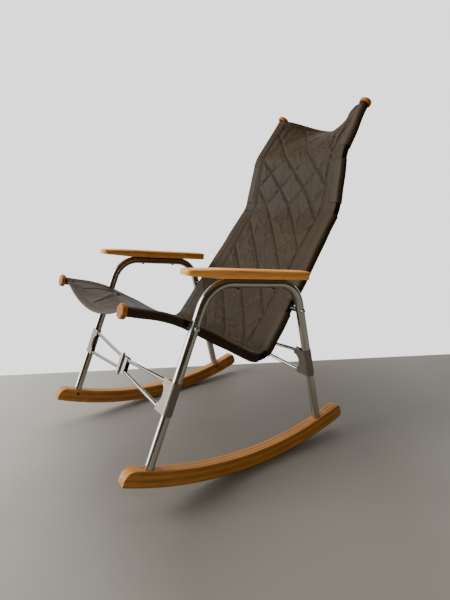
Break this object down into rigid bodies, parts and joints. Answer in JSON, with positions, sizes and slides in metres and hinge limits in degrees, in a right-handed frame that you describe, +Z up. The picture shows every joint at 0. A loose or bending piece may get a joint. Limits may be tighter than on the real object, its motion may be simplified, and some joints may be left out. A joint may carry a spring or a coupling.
{
  "type": "folding rocking chair",
  "caption": "Rocking chair with bent tube sides on curved wooden runners, wooden armrests and a quilted sling, folding sideways on hinged gates at the front and rear.",
  "frame": {"origin": "on the floor, midway between the lines where the two runners touch it with the chair at rest", "axes": "+Z up, +X to the sitter's left, the chair faces -Y"},
  "size_m": [0.582, 0.9267, 0.9456],
  "materials": {
    "wood": "satin",
    "chrome_steel": "polished",
    "gate_steel": "satin",
    "rail_paint": "satin",
    "sling": "satin"
  },
  "bodies": {
    "left_side": {"arm_screws_left": "chrome_steel", "armrest_left": "wood", "back_knob_left": "wood", "back_tunnels_left": "sling", "foot_screws_left": "chrome_steel", "front_rail_bolt_left": "chrome_steel", "front_rail_nut_left": "chrome_steel", "front_rail_spacer_left": "chrome_steel", "gate_stop_pins_left": "chrome_steel", "rear_rail_bolt_left": "chrome_steel", "rear_rail_nut_left": "chrome_steel", "rear_rail_spacer_left": "chrome_steel", "rocker_left": "wood", "seat_knob_left": "wood", "seat_tunnels_left": "sling", "side_tube_left": "chrome_steel", "sling_back_panel": "sling", "sling_rail_left": "rail_paint", "sling_seat_panel": "sling"},
    "right_side": {"arm_screws_right": "chrome_steel", "armrest_right": "wood", "back_knob_right": "wood", "back_tunnels_right": "sling", "foot_screws_right": "chrome_steel", "front_rail_bolt_right": "chrome_steel", "front_rail_nut_right": "chrome_steel", "front_rail_spacer_right": "chrome_steel", "gate_stop_pins_right": "chrome_steel", "rear_rail_bolt_right": "chrome_steel", "rear_rail_nut_right": "chrome_steel", "rear_rail_spacer_right": "chrome_steel", "rocker_right": "wood", "seat_knob_right": "wood", "seat_tunnels_right": "sling", "side_tube_right": "chrome_steel", "sling_rail_right": "rail_paint"},
    "front_gate_left": {"front_gate_bracket_left": "gate_steel", "front_gate_hinge_leaf_left": "gate_steel", "front_gate_hinge_pin": "chrome_steel", "front_gate_lower_rod_left": "gate_steel", "front_gate_upper_rod_left": "gate_steel"},
    "front_gate_right": {"front_gate_bracket_right": "gate_steel", "front_gate_hinge_leaf_right": "gate_steel", "front_gate_lower_rod_right": "gate_steel", "front_gate_upper_rod_right": "gate_steel"},
    "rear_gate_left": {"rear_gate_bracket_left": "gate_steel", "rear_gate_hinge_leaf_left": "gate_steel", "rear_gate_hinge_pin": "chrome_steel", "rear_gate_lower_rod_left": "gate_steel", "rear_gate_upper_rod_left": "gate_steel"},
    "rear_gate_right": {"rear_gate_bracket_right": "gate_steel", "rear_gate_hinge_leaf_right": "gate_steel", "rear_gate_lower_rod_right": "gate_steel", "rear_gate_upper_rod_right": "gate_steel"}
  },
  "joints": [
    {"name": "fold", "type": "hinge", "parent": "left_side", "child": "front_gate_left", "pos_m": [0.275, -0.262, 0.25182], "axis": [0, -0.4242, -0.9055], "range_deg": [0, 66], "deforming": ["sling_seat_panel", "sling_back_panel"]},
    {"name": "front_centre_hinge", "type": "hinge", "parent": "front_gate_left", "child": "front_gate_right", "pos_m": [0, -0.27591, 0.25833], "axis": [0, -0.4242, -0.9055], "range_deg": [-132, 0]},
    {"name": "front_right_leg_pivot", "type": "hinge", "parent": "front_gate_right", "child": "right_side", "pos_m": [-0.275, -0.262, 0.25182], "axis": [0, -0.4242, -0.9055], "range_deg": [0, 66]},
    {"name": "rear_left_leg_pivot", "type": "hinge", "parent": "left_side", "child": "rear_gate_left", "pos_m": [0.275, 0.15543, 0.23479], "axis": [0, 0.172, -0.9851], "range_deg": [0, 66]},
    {"name": "rear_centre_hinge", "type": "hinge", "parent": "rear_gate_left", "child": "rear_gate_right", "pos_m": [0, 0.1403, 0.23215], "axis": [0, 0.172, -0.9851], "range_deg": [-132, 0]}
  ],
  "couplings": [
    {"joint": "front_centre_hinge", "follows": "fold", "ratio": -2},
    {"joint": "front_right_leg_pivot", "follows": "fold", "ratio": 1},
    {"joint": "rear_left_leg_pivot", "follows": "fold", "ratio": 1},
    {"joint": "rear_centre_hinge", "follows": "fold", "ratio": -2}
  ]
}
